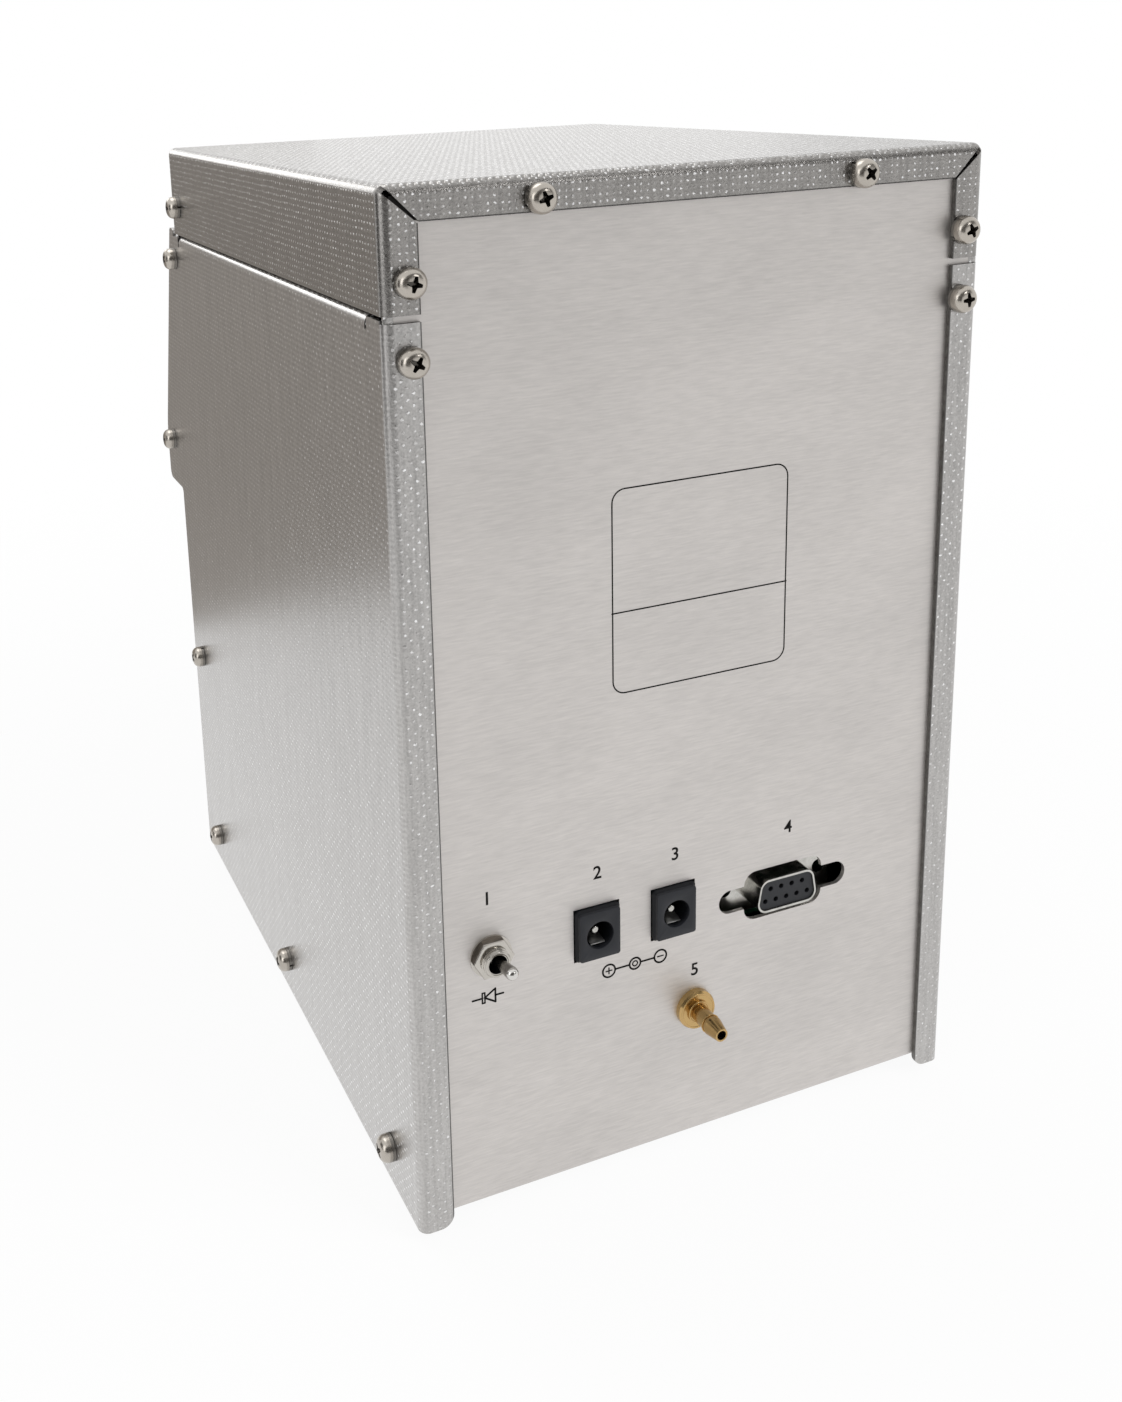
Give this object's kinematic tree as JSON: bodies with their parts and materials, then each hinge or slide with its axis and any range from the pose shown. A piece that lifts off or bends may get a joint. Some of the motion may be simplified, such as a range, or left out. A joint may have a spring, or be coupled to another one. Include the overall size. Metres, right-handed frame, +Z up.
{
  "type": "milk analyzer",
  "caption": "Bench milk analyzer in a folded embossed-steel case, with a sample niche, sloping console, rear sockets, toggle switch and an inner peristaltic pump.",
  "frame": {"origin": "on the bench, under the middle of the instrument's outline", "axes": "+Z up, -Y towards the console and the sample niche, +X towards the instrument's left side as seen from behind"},
  "size_m": [0.1424, 0.207, 0.223],
  "materials": {
    "embossed_steel": "embossed satin",
    "brushed_steel": "brushed",
    "zinc_sheet": "satin",
    "plated_fasteners": "plated",
    "black_rubber": "matt",
    "polished_tube": "polished",
    "clear_pane": "clear",
    "black_metal": "satin",
    "display_glass": "satin",
    "white_plastic": "matt",
    "circuit_board": "solder mask",
    "key_plastic": "matt",
    "black_plastic": "matt",
    "switch_metal": "plated",
    "nickel_contacts": "nickel",
    "port_plastic": "matt",
    "brass": "turned",
    "pump_plastic": "moulded",
    "roller_plastic": "moulded",
    "silicone": "translucent",
    "motor_metal": "satin",
    "transducer_metal": "turned",
    "heater_plate": "satin"
  },
  "bodies": {
    "case": {"top_cover": "embossed_steel", "side_panel_left": "embossed_steel", "side_panel_right": "embossed_steel", "rear_panel": "brushed_steel", "base_tray": "zinc_sheet", "console_panel": "brushed_steel", "lower_front_panel": "brushed_steel", "niche_liner": "brushed_steel", "rubber_feet": "black_rubber", "intake_tube": "polished_tube", "intake_fitting": "polished_tube", "intake_nut": "plated_fasteners", "display_window": "clear_pane", "display_bezel": "black_metal", "display_glass": "display_glass", "display_backlight": "white_plastic", "display_board": "circuit_board", "keypad_board": "circuit_board", "key_switches": "black_plastic", "console_spacers": "plated_fasteners", "switch_body": "switch_metal", "switch_washer": "switch_metal", "switch_nut": "switch_metal", "power_sockets": "black_plastic", "socket_pins": "nickel_contacts", "serial_shell": "nickel_contacts", "serial_insulator": "port_plastic", "connector_board": "circuit_board", "connector_spacers": "plated_fasteners", "air_nipple": "brass", "air_nipple_nut": "brass", "pump_bracket": "zinc_sheet", "pump_housing": "pump_plastic", "pump_lid": "clear_pane", "pump_screws": "plated_fasteners", "pump_tube": "silicone", "pump_motor": "motor_metal", "measuring_cell": "polished_tube", "cell_transducers": "transducer_metal", "cell_heater": "heater_plate", "cell_rest": "zinc_sheet", "intake_hose": "silicone", "pump_hose": "silicone", "outlet_hose": "silicone", "hose_connectors": "white_plastic", "main_board": "circuit_board", "main_board_parts": "black_plastic", "main_board_spacers": "plated_fasteners", "board_screws": "plated_fasteners", "case_screws": "plated_fasteners", "lock_washers": "plated_fasteners", "clinch_nuts": "plated_fasteners"},
    "switch_lever": {"switch_lever": "switch_metal"},
    "key_left": {"key_left": "key_plastic"},
    "key_middle": {"key_middle": "key_plastic"},
    "key_right": {"key_right": "key_plastic"},
    "pump_rotor": {"pump_rotor": "white_plastic"},
    "pump_roller_1": {"pump_roller_1": "roller_plastic"},
    "pump_roller_2": {"pump_roller_2": "roller_plastic"},
    "pump_roller_3": {"pump_roller_3": "roller_plastic"}
  },
  "joints": [
    {"name": "power_switch_throw", "type": "hinge", "parent": "case", "child": "switch_lever", "pos_m": [0.0499, 0.0926, 0.0642], "axis": [0, 0, -1], "range_deg": [0, 20]},
    {"name": "key_left_press", "type": "slide", "parent": "case", "child": "key_left", "axis": [0, 0.9354, -0.3536], "range_m": [0, 0.0008], "stiffness_N_per_m": 1500},
    {"name": "key_middle_press", "type": "slide", "parent": "case", "child": "key_middle", "axis": [0, 0.9354, -0.3536], "range_m": [0, 0.0008], "stiffness_N_per_m": 1500},
    {"name": "key_right_press", "type": "slide", "parent": "case", "child": "key_right", "axis": [0, 0.9354, -0.3536], "range_m": [0, 0.0008], "stiffness_N_per_m": 1500},
    {"name": "pump_rotor_spin", "type": "hinge", "parent": "case", "child": "pump_rotor", "pos_m": [-0.034, -0.006, 0.048], "axis": [0, 1, 0], "continuous": true},
    {"name": "pump_roller_1_spin", "type": "hinge", "parent": "pump_rotor", "child": "pump_roller_1", "pos_m": [-0.0267, -0.006, 0.048], "axis": [0, 1, 0], "continuous": true},
    {"name": "pump_roller_2_spin", "type": "hinge", "parent": "pump_rotor", "child": "pump_roller_2", "pos_m": [-0.03765, -0.006, 0.05432], "axis": [0, 1, 0], "continuous": true},
    {"name": "pump_roller_3_spin", "type": "hinge", "parent": "pump_rotor", "child": "pump_roller_3", "pos_m": [-0.03765, -0.006, 0.04168], "axis": [0, 1, 0], "continuous": true}
  ],
  "couplings": [
    {"joint": "pump_roller_1_spin", "follows": "pump_rotor_spin", "ratio": -3.4333},
    {"joint": "pump_roller_2_spin", "follows": "pump_rotor_spin", "ratio": -3.4333},
    {"joint": "pump_roller_3_spin", "follows": "pump_rotor_spin", "ratio": -3.4333}
  ]
}
